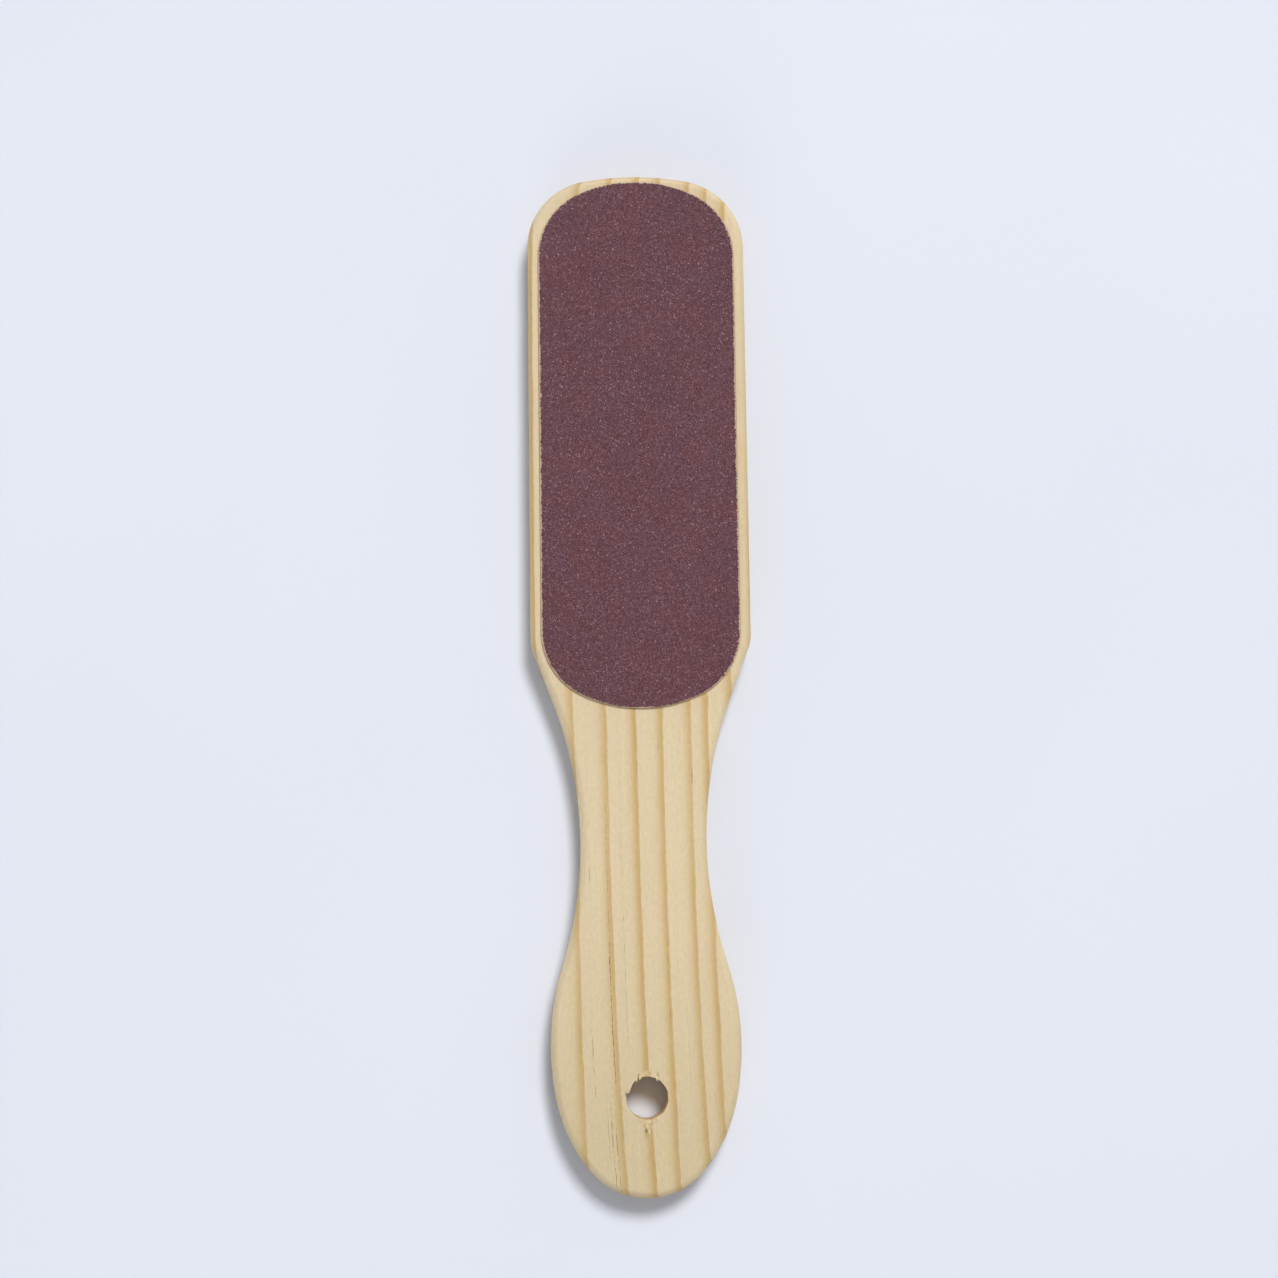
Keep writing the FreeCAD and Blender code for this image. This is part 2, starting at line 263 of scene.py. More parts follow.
# ---------------------------------------------------------------- wooden paddle
def build_paddle():
    rng = np.random.default_rng(11)
    loop, normal, s = closed_loop(paddle_half(), 0.56)
    n = len(loop)
    rim = RIM_R + 0.10 * smooth_noise(s / 9, 0, 0, 21) + 0.05 * smooth_noise(s / 2.7, 0, 0, 22)
    sheet_w = half_width(sheet_half())

    verts, faces = [], []
    # rim and side, ring by ring from the front face to the back face; the edge
    # was broken with a sander, so it is between a bevel and a round
    phi = np.radians([0, 13, 26, 39, 51, 64, 77, 90])
    soft = 1.25
    bend = [((1 - math.sin(f) ** (2 / soft)), (1 - math.cos(f) ** (2 / soft))) for f in phi]
    lean = np.arctan2([math.sin(f) ** (2 - 2 / soft) for f in phi], [math.cos(f) ** (2 - 2 / soft) for f in phi])
    rings = []
    for a, b in bend:
        rings.append((rim * a, WOOD_Z1 - rim * b))
    for k in (0.14, 0.28, 0.43, 0.57, 0.72, 0.86):
        rings.append((np.zeros(n), WOOD_Z1 - rim - k * (WOOD_Z1 - WOOD_Z0 - 2 * rim)))
    for a, b in bend[::-1]:
        rings.append((rim * a, WOOD_Z0 + rim * b))
    for inset, z in rings:
        verts.append(np.c_[loop - normal * inset[:, None], z])
    k = len(rings)
    for r in range(k - 1):
        faces.append(quads_between((r + 1) * n, r * n, n))
    side = np.vstack(verts)
    side_n = np.vstack([np.c_[normal * math.sin(f), np.full(n, math.cos(f))] for f in list(lean) + [math.pi / 2] * 6]
                       + [np.c_[normal * math.sin(f), np.full(n, -math.cos(f))] for f in lean[::-1]])

    # hole wall: a drilled bore with faint tool rings and a ragged lip at the rims
    m = 180
    ang = np.linspace(0, 2 * math.pi, m, endpoint=False)
    deg = np.degrees(ang)
    hz = np.r_[WOOD_Z1, WOOD_Z1 - 0.14, WOOD_Z1 - 0.32, WOOD_Z1 - 0.7, np.linspace(WOOD_Z1 - 1.5, WOOD_Z0 + 1.2, 7),
               WOOD_Z0 + 0.5, WOOD_Z0 + 0.2, WOOD_Z0]

    def bite(spots):
        out = np.zeros(m)
        for at, wide, deep in spots:
            out += deep * np.exp(-(((deg - at + 180) % 360 - 180) / wide) ** 2)
        return out

    front_bite = bite(((116, 3.0, 0.75), (61, 3.4, 0.55), (52, 3, 0.2), (93, 6, 0.30), (84, 3, 0.18), (104, 3, 0.10),
                       (171, 3.5, 0.25), (268, 5, 0.22), (284, 4, 0.18), (318, 5, 0.14), (20, 7, 0.08), (240, 5, 0.12)))
    # a crescent of fibre was left uncut at the upper left
    lip = 0.52 * smoothstep(121, 160, deg) * (1 - smoothstep(164, 167.5, deg))
    back_bite = bite(((95, 6, 0.3), (75, 4, 0.18), (262, 7, 0.35), (281, 4, 0.25), (230, 9, 0.12)))
    crumb = 0.05 * rng.uniform(-1, 1, m)

    hole_start = len(side)
    hole = []
    for i, z in enumerate(hz):
        r = HOLE_R + 0.02 * math.sin(i * 2.4) + 0.03 * smooth_noise(np.cos(ang) * 4, np.sin(ang) * 4, z * 0.6, 31)
        fade_f, fade_b = {0: 1.0, 1: 0.8, 2: 0.45, 3: 0.12}.get(i, 0), {len(hz) - 1: 1.0, len(hz) - 2: 0.6, len(hz) - 3: 0.2}.get(i, 0)
        r = r + fade_f * (front_bite + crumb) + fade_b * (back_bite + crumb) - {0: 1.0, 1: 0.95, 2: 0.4}.get(i, 0) * lip
        hole.append(np.c_[np.cos(ang) * r, HOLE_Y + np.sin(ang) * r, np.full(m, z)])
    hole = np.vstack(hole)
    for r in range(len(hz) - 1):
        faces.append(quads_between(hole_start + r * m, hole_start + (r + 1) * m, m))
    base = np.vstack([side, hole])

    # front and back face: fine where wood shows, coarse under the sheets
    def face_points(ring_xy, hole_xy):
        o = np.argsort(ring_xy[:, 1])
        right = ring_xy[ring_xy[:, 0] > -1e-6]
        o = np.argsort(right[:, 1])
        ry, rx = right[o, 1], right[o, 0]

        def inside(x, y, gap):
            w = np.interp(y, ry, rx)
            lim = np.where((y < ry[0] + gap) | (y > ry[-1] - gap), -1, w - gap)
            return np.abs(x) < lim

        def hexes(a, x0, x1, y0, y1):
            dy = a * math.sqrt(3) / 2
            jj, ii = np.meshgrid(np.arange(int((y1 - y0) / dy) + 1), np.arange(int((x1 - x0) / a) + 1), indexing="ij")
            x = x0 + (ii + 0.5 * (jj % 2)) * a
            y = y0 + jj * dy
            p = np.c_[x.ravel(), y.ravel()]
            return p + rng.uniform(-0.22, 0.22, p.shape) * a

        p = hexes(0.47, -27, 27, -125, 125)
        hidden = (np.abs(p[:, 0]) < sheet_w(p[:, 1]) - 1.2) & (p[:, 1] > SHEET_BOT + 1.2) & (p[:, 1] < SHEET_TOP - 1.2)
        dist = np.hypot(p[:, 0], p[:, 1] - HOLE_Y)
        p = p[inside(p[:, 0], p[:, 1], 0.34) & ~hidden & (dist > 9.4)]
        q = hexes(3.0, -27, 27, -125, 125)
        q = q[(np.abs(q[:, 0]) < sheet_w(q[:, 1]) - 2.4) & (q[:, 1] > SHEET_BOT + 2.6) & (q[:, 1] < SHEET_TOP - 2.6)]
        c = hexes(0.22, -10, 10, HOLE_Y - 10, HOLE_Y + 10)
        dist = np.hypot(c[:, 0], c[:, 1] - HOLE_Y)
        hr = np.hypot(hole_xy[:, 0], hole_xy[:, 1] - HOLE_Y)
        edge = np.interp((np.arctan2(c[:, 1] - HOLE_Y, c[:, 0])) % (2 * math.pi), np.r_[ang, 2 * math.pi], np.r_[hr, hr[0]])
        c = c[(dist > edge + 0.13) & (dist <= 9.4)]
        return np.vstack([p, q, c])

    pieces_v, pieces_f = [base], list(faces)
    count = len(base)
    face_parts = []
    for front in (True, False):
        r0 = 0 if front else (k - 1) * n
        h0 = hole_start if front else hole_start + (len(hz) - 1) * m
        ring_xy, hole_xy = base[r0:r0 + n, :2], base[h0:h0 + m, :2]
        inner = face_points(ring_xy, hole_xy)
        pts = np.vstack([ring_xy, hole_xy, inner])
        edges = [(i, (i + 1) % n) for i in range(n)] + [(n + i, n + (i + 1) % m) for i in range(m)]
        out_v, _, out_f, orig, _, _ = delaunay_2d_cdt([Vector(p) for p in pts], edges, [], 1, 1e-7)
        to_global = np.r_[np.arange(r0, r0 + n), np.arange(h0, h0 + m), np.arange(count, count + len(inner))]
        remap = np.array([to_global[o[0]] if o else -1 for o in orig])
        if (remap < 0).any():
            raise RuntimeError("the face triangulation added points")
        tri = np.array(out_f)
        v2 = np.array([tuple(v) for v in out_v])
        mid = v2[tri].mean(1)
        at = np.interp(np.arctan2(mid[:, 1] - HOLE_Y, mid[:, 0]) % (2 * math.pi), np.r_[ang, 2 * math.pi],
                       np.r_[np.hypot(hole_xy[:, 0], hole_xy[:, 1] - HOLE_Y), np.hypot(hole_xy[0, 0], hole_xy[0, 1] - HOLE_Y)])
        tri = tri[np.hypot(mid[:, 0], mid[:, 1] - HOLE_Y) > at - 0.004]
        a, b, c = v2[tri[:, 0]], v2[tri[:, 1]], v2[tri[:, 2]]
        turn = (b[:, 0] - a[:, 0]) * (c[:, 1] - a[:, 1]) - (b[:, 1] - a[:, 1]) * (c[:, 0] - a[:, 0])
        tri = tri[np.abs(turn) > 1e-9]
        turn = turn[np.abs(turn) > 1e-9]
        flip = (turn < 0) if front else (turn > 0)
        tri[flip] = tri[flip][:, ::-1]
        z = WOOD_Z1 if front else WOOD_Z0
        pieces_v.append(np.c_[inner, np.full(len(inner), z)])
        pieces_f.append(remap[tri])
        face_parts.append((count, len(inner)))
        count += len(inner)
    v = np.vstack(pieces_v)

    # the surface normal of every point, for the relief
    nrm = np.zeros_like(v)
    nrm[:len(side)] = side_n
    nrm[hole_start:hole_start + len(hole), 0] = -np.tile(np.cos(ang), len(hz))
    nrm[hole_start:hole_start + len(hole), 1] = -np.tile(np.sin(ang), len(hz))
    nrm[hole_start:hole_start + m] = (0, 0, 1)
    nrm[hole_start + (len(hz) - 1) * m:hole_start + len(hz) * m] = (0, 0, -1)
    for (c0, cn), up in zip(face_parts, (1, -1)):
        nrm[c0:c0 + cn] = (0, 0, up)
    ring, width = ring_of(v[:, 0], v[:, 1], v[:, 2])
    under = (np.abs(v[:, 0]) < sheet_w(v[:, 1]) - 0.3) & (v[:, 1] > SHEET_BOT + 0.3) & (v[:, 1] < SHEET_TOP - 0.3) & (np.abs(nrm[:, 2]) > 0.9)
    rise = wood_relief(v[:, 0], v[:, 1], v[:, 2]) - 0.03
    rise[under] = -0.03
    v = v + nrm * rise[:, None]

    # torn grain at the drilled rim: fibres lifted out along the grain
    torn, pit_shade = np.zeros(len(v)), np.zeros(len(v))
    rough = 0.7 + 0.6 * smooth_noise(v[:, 0] * 3.4, v[:, 1] * 1.6, 0, 41)
    for front, spots in ((1, ((-0.40, -8.05, 0.26, 0.80, 0.38), (-0.75, -6.50, 0.24, 0.45, 0.30), (0.05, -7.3, 0.55, 0.9, 0.12),
                              (0.95, -5.9, 0.35, 0.8, 0.14), (-2.1, 5.2, 0.26, 0.7, 0.30), (2.55, 5.1, 0.30, 0.9, 0.22),
                              (-5.0, 1.1, 0.25, 0.7, 0.22), (0.5, 5.75, 0.45, 0.5, 0.16), (-0.45, 5.5, 0.3, 0.4, 0.10),
                              (1.9, -5.2, 0.4, 0.5, 0.10), (-1.9, -5.3, 0.4, 0.5, 0.08))),
                         (-1, ((0.6, 6.2, 0.5, 1.6, 0.4), (-0.8, -6.3, 0.5, 1.9, 0.42), (1.3, -5.8, 0.35, 1.1, 0.3)))):
        on = nrm[:, 2] * front > 0.9
        for x, y, wx, wy, deep in spots:
            e = np.exp(-((v[:, 0] - x) / wx) ** 2 - ((v[:, 1] - HOLE_Y - y) / wy) ** 2) * rough
            # this mask follows each chip's depth and later paints shade into it
            pit_shade += np.where(on, e * deep / 0.35, 0)
            v[:, 2] -= np.where(on, front * deep * e, 0)
        for x, y, wx, wy in ((0.15, 5.6, 1.6, 0.75), (0.15, -6.3, 0.8, 1.4), (2.5, 5.2, 0.6, 0.9), (-2.2, 5.1, 0.5, 0.8)):
            torn += np.where(on, np.exp(-(((v[:, 0] - x) / wx) ** 2 + ((v[:, 1] - HOLE_Y - y) / wy) ** 2) ** 2), 0)
        far = np.hypot(v[:, 0], v[:, 1] - HOLE_Y) - HOLE_R
        ragged = np.where(on & (far < 1.4), np.exp(-(far / 0.5) ** 2) * np.clip(rough, 0, 1.3), 0)
        torn += 0.5 * ragged
        v[:, 2] -= front * ragged * (0.05 + 0.06 * smooth_noise(v[:, 0] * 5, v[:, 1] * 3, 0, 43))
    torn, pit_shade = np.clip(torn, 0, 1), np.clip(pit_shade, 0, 1)
    bore = np.zeros(len(v))
    bore[hole_start + m:hole_start + (len(hz) - 1) * m] = 1

    # splinters left standing at the rim, pointing along the grain
    extra_v, extra_f = [], []
    at = len(v)
    for x, y, ln, wd, lift, bend in ((-2.52, 4.85, -1.15, 0.24, 0.12, 0.08), (-1.62, 5.00, -0.80, 0.34, 0.06, -0.22),
                                     (2.34, 5.05, -1.15, 0.26, 0.14, 0.10), (2.86, 4.60, -0.60, 0.18, 0.06, 0.02),
                                     (0.10, 5.45, -0.50, 0.20, 0.05, 0.05), (0.75, 5.30, -0.40, 0.16, 0.03, 0.03),
                                     (-0.55, 5.25, -0.35, 0.18, 0.03, 0.0), (-4.50, 2.30, -0.90, 0.18, 0.05, 0.12),
                                     (0.34, -7.35, -1.30, 0.24, 0.34, 0.08), (0.02, -6.30, -0.95, 0.17, 0.18, 0.02),
                                     (-0.22, -5.40, -0.85, 0.17, 0.12, -0.04), (0.75, -5.30, -0.8, 0.17, 0.14, 0.08),
                                     (-1.20, -5.15, -0.5, 0.14, 0.08, -0.05), (1.7, -4.95, 0.4, 0.14, 0.05, 0.0)):
        y += HOLE_Y
        steps = 5
        for i in range(steps + 1):
            t = i / steps
            w = wd * (1 - t) ** 0.55 + 0.012
            cx, cy = x + bend * t * t, y + ln * t
            cz = WOOD_Z1 - 0.05 + lift * t
            d = 0.16 * (1 - t) + 0.02
            extra_v += [(cx - w, cy, cz), (cx + w, cy, cz + 0.03), (cx + w * 0.5, cy, cz - d), (cx - w * 0.6, cy, cz - d)]
        for i in range(steps):
            b0, b1 = at + 4 * i, at + 4 * (i + 1)
            for p, q in ((0, 1), (1, 2), (2, 3), (3, 0)):
                quad = (b0 + p, b0 + q, b1 + q, b1 + p)
                extra_f.append(quad if ln < 0 else quad[::-1])
        cap0, cap1 = tuple(at + i for i in range(4)), tuple(at + 4 * steps + i for i in range(4))
        extra_f.append(cap0[::-1] if ln < 0 else cap0)
        extra_f.append(cap1 if ln < 0 else cap1[::-1])
        at += 4 * (steps + 1)
    extra_v = np.array(extra_v)
    extra_r, extra_w = ring_of(extra_v[:, 0], extra_v[:, 1], extra_v[:, 2])
    v_all = np.vstack([v, extra_v])
    all_faces = [tuple(f) for part in pieces_f for f in part.tolist()] + extra_f
    obj = make_mesh("paddle_wood", v_all, all_faces, "wooden_paddle", smooth_angle=42)
    point_values(obj, "ring", np.r_[ring, extra_r])
    point_values(obj, "year_width", np.r_[width, extra_w])
    point_values(obj, "torn", np.r_[torn, np.full(len(extra_v), 1.0)])
    point_values(obj, "pit_shade", np.r_[pit_shade, np.zeros(len(extra_v))])
    point_values(obj, "bore", np.r_[bore, np.zeros(len(extra_v))])

    # map for baked finishes: both handle faces lie flat, the rims, the sides and
    # the head's margins are strips along the outline
    unit = 6.0 / 1024
    girth = s[-1] + s[1]
    quarter, strip_w, strip_u = girth / 4, 91 / 1024, 636 / 1024
    mean = np.array([(np.mean(a), np.mean(b)) for a, b in rings])
    deep = 2.45 + np.r_[0, np.cumsum(np.linalg.norm(np.diff(mean, axis=0), axis=1))]

    def on_strip(along, d, which):
        return np.stack([strip_u + which * strip_w + d * unit, 0.012 + (along - which * quarter) * unit], -1)

    i = np.arange(n)
    step = girth / n
    which = np.minimum((i * step / quarter).astype(int), 3)
    parts = []
    for r in range(k - 1):
        lo, hi = np.full(n, deep[r]), np.full(n, deep[r + 1])
        parts.append(np.stack([on_strip(i * step, hi, which), on_strip((i + 1) * step, hi, which),
                               on_strip((i + 1) * step, lo, which), on_strip(i * step, lo, which)], 1).reshape(-1, 2))
    j = np.arange(m)
    turn = 2 * math.pi * HOLE_R / m * unit
    for r in range(len(hz) - 1):
        up, dn = np.full(m, 0.83 + (WOOD_Z1 - hz[r]) * unit), np.full(m, 0.83 + (WOOD_Z1 - hz[r + 1]) * unit)
        parts.append(np.stack([np.c_[0.01 + j * turn, up], np.c_[0.01 + (j + 1) * turn, up],
                               np.c_[0.01 + (j + 1) * turn, dn], np.c_[0.01 + j * turn, dn]], 1).reshape(-1, 2))
    near = KDTree(n)
    for index, point in enumerate(loop):
        near.insert((point[0], point[1], 0.0), index)
    near.balance()
    for front, tri in zip((True, False), pieces_f[-2:]):
        xy = v_all[tri][:, :, :2]
        mid = xy.mean(1)
        hidden = (np.abs(mid[:, 0]) < sheet_w(mid[:, 1]) - 0.25) & (mid[:, 1] > SHEET_BOT + 0.25) & (mid[:, 1] < SHEET_TOP - 0.25)
        u0 = (158 if front else 474) / 1024
        uv = np.stack([u0 + xy[..., 0] * unit, 0.008 + (xy[..., 1] + 125) * unit], -1)
        uv[hidden] = np.stack([(330 if front else 380) / 1024 + xy[hidden][..., 0] * unit * 0.1,
                               0.835 + (xy[hidden][..., 1] + 10) * unit * 0.1], -1)
        for f in np.nonzero(~hidden & (mid[:, 1] > 11))[0]:
            c = near.find((mid[f, 0], mid[f, 1], 0.0))[1]
            w = min(int(c * step / quarter), 3)
            for q in range(3):
                gap = xy[f, q] - loop[c]
                tangent = np.array((-normal[c, 1], normal[c, 0]))
                inset = max(0.0, -float(gap @ normal[c]) - mean[0, 0])
                uv[f, q] = on_strip(c * step + float(gap @ tangent), deep[0] - inset if front else deep[-1] + inset, w)
        parts.append(uv.reshape(-1, 2))
    tips = np.array([extra_v[q - len(v)] for f in extra_f for q in f])
    parts.append(np.c_[0.21 + (tips[:, 0] + 6) * unit, 0.83 + (tips[:, 1] - HOLE_Y + 10) * unit])
    bake_map(obj, np.vstack(parts))
    return obj


# -------------------------------------------------------------- abrasive sheets
def grit_piece(name, node, up, pitch, low, high, seed, loose):
    """A coat of bonded grain: facets of uneven height with a ragged cut edge, and loose-lying grains set in it."""
    rng = np.random.default_rng(seed)
    z0, z1 = Z_OF[node]
    base, sign = (z0, 1.0) if up else (z1, -1.0)
    wide = half_width(sheet_half())
    dy = pitch * math.sqrt(3) / 2
    ny, nx = int((SHEET_TOP - SHEET_BOT) / dy) + 2, int(SHEET_W / pitch) + 3
    jj, ii = np.meshgrid(np.arange(ny), np.arange(nx), indexing="ij")
    x = (ii + 0.5 * (jj % 2)) * pitch - SHEET_W / 2 - pitch
    y = SHEET_BOT + jj * dy + dy * 0.3
    rag = 0.29 + 0.11 * smooth_noise(x * 1.3, y * 1.3, 0, seed + 1) + 0.11 * rng.uniform(-1, 1, x.shape)
    ok = (np.abs(x) < wide(y) - rag) & (y > SHEET_BOT + rag) & (y < SHEET_TOP - rag)
    x = x + rng.uniform(-0.3, 0.3, x.shape) * pitch
    y = y + rng.uniform(-0.3, 0.3, x.shape) * pitch
    patch = smooth_noise(x * 0.22, y * 0.22, 0, seed + 2) * 0.5 + smooth_noise(x * 0.9, y * 0.9, 0, seed + 3) * 0.5
    share = 0.52 * rng.random(x.shape) + 0.06 * patch
    share = np.where(rng.random(x.shape) < 0.05, rng.uniform(0.70, 1.0, x.shape), share)
    hgt = low + (high - low) * np.clip(share, 0, 1)

    idx = jj * nx + ii
    even = (np.arange(ny - 1) % 2 == 0)[:, None]
    a, b, c, d = idx[:-1, :-1], idx[:-1, 1:], idx[1:, :-1], idx[1:, 1:]
    t1 = np.where(even[..., None], np.stack([a, b, c], -1), np.stack([a, b, d], -1)).reshape(-1, 3)
    t2 = np.where(even[..., None], np.stack([b, d, c], -1), np.stack([a, d, c], -1)).reshape(-1, 3)
    tri = np.vstack([t1, t2])
    tri = tri[ok.ravel()[tri].all(1)]
    used = np.unique(tri)
    renum = np.full(ny * nx, -1)
    renum[used] = np.arange(len(used))
    tri = renum[tri]
    vx, vy, vh = x.ravel()[used], y.ravel()[used], hgt.ravel()[used]

    # cut edge: the coat drops to the carrier along its outline
    e = np.vstack([tri[:, [0, 1]], tri[:, [1, 2]], tri[:, [2, 0]]])
    code = e[:, 0] * len(used) + e[:, 1]
    back = e[:, 1] * len(used) + e[:, 0]
    rim = e[~np.isin(code, back)]
    rim_pts = np.unique(rim)
    low_of = np.full(len(used), -1)
    low_of[rim_pts] = len(used) + np.arange(len(rim_pts))
    skirt = np.c_[rim[:, 1], rim[:, 0], low_of[rim[:, 0]], low_of[rim[:, 1]]]
    follow = {}
    for p, q in rim.tolist():
        follow.setdefault(p, []).append(q)
    loops, start = [], None
    while any(follow.values()):
        start = next(p for p, qs in follow.items() if qs)
        path, at = [], start
        while follow.get(at):
            path.append(at)
            at = follow[at].pop()
            if at == start:
                break
        loops.append(path)
    vx = np.r_[vx, vx[rim_pts]]
    vy = np.r_[vy, vy[rim_pts]]
    vh = np.r_[vh, np.zeros(len(rim_pts))]
    verts = [np.c_[vx, vy, base + sign * vh]]
    order = 1 if up else -1
    faces = [tuple(f[::order]) for f in tri.tolist()] + [tuple(f[::order]) for f in skirt.tolist()]
    shade = list(rng.random(len(tri))) + list(0.35 + 0.65 * rng.random(len(skirt)))
    for path in loops:
        faces.append(tuple(int(low_of[p]) for p in (path[::-1] if up else path)))
        shade.append(0.2)
    # height share of each point, later used to paint shade into the valleys
    hval = list((vh - low) / (high - low))

    # single grains set in the coat, more of them along the broken edge
    at = len(vx)
    grains = []
    pick = rng.choice(len(used), loose, replace=False)
    for p in pick:
        grains.append((vx[p], vy[p], vh[p] * 0.75, rng.uniform(0.55, 0.95) * pitch * 0.62, 0.45 + 0.45 * rng.random()))
    for p in rng.choice(rim_pts, int(len(rim_pts) * 0.75), replace=False):
        grains.append((vx[p], vy[p], vh[p] * rng.uniform(0.3, 0.9), rng.uniform(0.5, 0.95) * pitch * 0.6, 0.45 + 0.55 * rng.random()))
    octa = np.array([(1, 0, 0), (-1, 0, 0), (0, 1, 0), (0, -1, 0), (0, 0, 1), (0, 0, -1)], float)
    sides = [(0, 2, 4), (2, 1, 4), (1, 3, 4), (3, 0, 4), (2, 0, 5), (1, 2, 5), (3, 1, 5), (0, 3, 5)]
    for gx, gy, gh, size, tone in grains:
        turn = np.array(Euler(rng.uniform(0, 6.28, 3)).to_matrix())
        o = (octa * rng.uniform(0.65, 1.25, (6, 1))) @ turn.T * size
        o += (gx, gy, base + sign * gh)
        if up:
            o[:, 2] = np.maximum(o[:, 2], base + 0.005)
        else:
            o[:, 2] = np.minimum(o[:, 2], base - 0.005)
        verts.append(o)
        faces += [tuple(at + i for i in f) for f in sides]
        shade += list(np.clip(tone + rng.uniform(-0.15, 0.15, 8), 0, 1))
        hval += [0.8] * 6
        at += 6
    obj = make_mesh(name, np.vstack(verts), faces, node)
    face_values(obj, "grain", shade)
    point_values(obj, "height", hval)

    # map for baked finishes: the sheet from above, its two halves side by side
    size = np.array([len(f) for f in faces])
    at = np.fromiter((i for f in faces for i in f), int, size.sum())
    xy = np.vstack(verts)[at, :2]
    who = np.repeat(np.arange(len(faces)), size)
    middle = (SHEET_TOP + SHEET_BOT) / 2
    upper = (np.bincount(who, xy[:, 1]) / size > middle)[who]
    tall = (SHEET_TOP - SHEET_BOT) / 2 + 0.8
    uv = np.c_[np.where(upper, 0.505, 0.005) + (xy[:, 0] / SHEET_W + 0.5) * 0.49,
               0.004 + (xy[:, 1] - np.where(upper, middle - 0.4, SHEET_BOT - 0.4)) / tall * 0.992]
    under = (size > 4)[who]
    uv[under] = np.c_[0.4985 + xy[under, 0] / SHEET_W * 0.002, 0.01 + (xy[under, 1] - SHEET_BOT) / SHEET_W * 0.004]
    bake_map(obj, uv)
    return obj


def layer_piece(name, node, seed, ripple, thread, spread):
    """A thin die-cut layer: carrier cloth with cut thread ends, or the adhesive film with a little squeeze-out."""
    rng = np.random.default_rng(seed)
    z0, z1 = Z_OF[node]
    loop, normal, s = closed_loop(sheet_half(), 0.17)
    n = len(loop)
    levels = (0.0, 0.22, 0.5, 0.78, 1.0)
    verts, faces = [], []
    for i, lv in enumerate(levels):
        bulge = math.sin(math.pi * lv)
        off = spread + ripple * smooth_noise(s / 2.4, i * 0.4, 0, seed) + 0.5 * ripple * smooth_noise(s / 0.6, i * 0.9, 0, seed + 1)
        off = off + thread * (0.5 + 0.5 * np.cos(2 * math.pi * s / 0.51 + (math.pi if i % 2 else 0))) * bulge
        off = off + 0.35 * ripple * rng.uniform(-1, 1, n) * bulge
        verts.append(np.c_[loop + normal * off[:, None], np.full(n, z0 + lv * (z1 - z0))])
    for r in range(len(levels) - 1):
        faces += [tuple(f) for f in quads_between(r * n, (r + 1) * n, n).tolist()]
    faces.append(tuple(range(n))[::-1])
    faces.append(tuple(range((len(levels) - 1) * n, len(levels) * n)))
    obj = make_mesh(name, np.vstack(verts), faces, node, smooth_angle=60)

    # map for baked finishes: the edge in eight rows, then the two faces
    girth = s[-1] + s[1]
    step, row_len, rows = girth / n, girth / 8, []
    i = np.arange(n)
    row = np.minimum((i * step / row_len).astype(int), 7)
    a, b = 0.01 + (i * step - row * row_len) / row_len * 0.97, 0.01 + ((i + 1) * step - row * row_len) / row_len * 0.97
    for r in range(len(levels) - 1):
        lo, hi = 0.02 + row * 0.05 + levels[r] * 0.034, 0.02 + row * 0.05 + levels[r + 1] * 0.034
        rows.append(np.stack([np.c_[a, lo], np.c_[b, lo], np.c_[b, hi], np.c_[a, hi]], 1).reshape(-1, 2))
    flat = 0.98 / (SHEET_TOP - SHEET_BOT + 1)
    bottom = verts[0][::-1]
    rows.append(np.c_[0.01 + (bottom[:, 1] - SHEET_BOT + 0.5) * flat, 0.92 + bottom[:, 0] * flat * 0.3])
    rows.append(np.c_[0.01 + (verts[-1][:, 1] - SHEET_BOT + 0.5) * flat, 0.65 + verts[-1][:, 0] * flat])
    bake_map(obj, np.vstack(rows))
    return obj


# -------------------------------------------------------------------- materials
def linear(r, g, b):
    def one(c):
        c /= 255.0
        return c / 12.92 if c <= 0.04045 else ((c + 0.055) / 1.055) ** 2.4
    return (one(r), one(g), one(b), 1.0)


